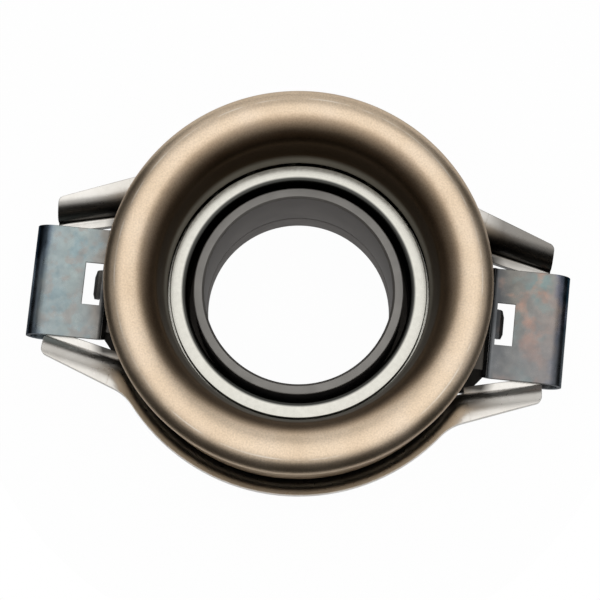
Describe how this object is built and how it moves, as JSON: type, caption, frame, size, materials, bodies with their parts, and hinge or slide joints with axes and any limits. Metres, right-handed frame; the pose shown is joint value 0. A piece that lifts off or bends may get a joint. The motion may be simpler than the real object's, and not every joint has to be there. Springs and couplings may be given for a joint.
{
  "type": "clutch release bearing",
  "caption": "Self-aligning clutch release bearing: a turning hollow nose on a floating ball bearing, a guide sleeve, and a pressed carrier whose ears have spring clips for the release fork.",
  "frame": {"origin": "on the bearing's axis, at the rear end of the guide sleeve", "axes": "+Z along the axis from the gearbox towards the clutch, +X along the two fork ears"},
  "size_m": [0.0968, 0.0702, 0.0355],
  "materials": {
    "sleeve_steel": "matte drawn steel, lightly oiled",
    "carrier_steel": "plain pressed steel, satin",
    "retainer_steel": "plain pressed steel, satin",
    "clip_steel": "tempered spring steel with blue-grey heat colours",
    "spring_steel": "hardened spring steel",
    "ring_steel": "ground bearing steel, satin",
    "nose_steel": "hardened steel with a satin bronze-brown tint",
    "case_steel": "thin pressed steel",
    "seal_rubber": "moulded black rubber",
    "cage_plastic": "moulded dark plastic",
    "ball_steel": "polished bearing balls"
  },
  "bodies": {
    "carrier": {"guide_sleeve": "sleeve_steel", "carrier": "carrier_steel", "retainer_ring": "retainer_steel", "clip_right": "clip_steel", "clip_left": "clip_steel"},
    "spring": {"disc_spring": "spring_steel"},
    "inner_ring": {"inner_ring": "ring_steel"},
    "outer_ring": {"outer_ring": "nose_steel", "seal_case": "case_steel", "seal_lip": "seal_rubber"},
    "cage": {"cage": "cage_plastic", "ball_01": "ball_steel", "ball_02": "ball_steel", "ball_03": "ball_steel", "ball_04": "ball_steel", "ball_05": "ball_steel", "ball_06": "ball_steel", "ball_07": "ball_steel", "ball_08": "ball_steel", "ball_09": "ball_steel", "ball_10": "ball_steel", "ball_11": "ball_steel", "ball_12": "ball_steel", "ball_13": "ball_steel", "ball_14": "ball_steel", "ball_15": "ball_steel", "ball_16": "ball_steel", "ball_17": "ball_steel", "ball_18": "ball_steel", "ball_19": "ball_steel", "ball_20": "ball_steel"}
  },
  "joints": [
    {"name": "float_x", "type": "slide", "parent": "carrier", "child": "spring", "axis": [1, 0, 0], "range_m": [-0.0007, 0.0007]},
    {"name": "float_y", "type": "slide", "parent": "spring", "child": "inner_ring", "axis": [0, 1, 0], "range_m": [-0.0007, 0.0007]},
    {"name": "outer_spin", "type": "hinge", "parent": "inner_ring", "child": "outer_ring", "pos_m": [0, 0, 0.0202], "axis": [0, 0, 1], "continuous": true},
    {"name": "cage_spin", "type": "hinge", "parent": "inner_ring", "child": "cage", "pos_m": [0, 0, 0.0202], "axis": [0, 0, 1], "continuous": true}
  ],
  "couplings": [
    {"joint": "cage_spin", "follows": "outer_spin", "ratio": 0.56}
  ]
}
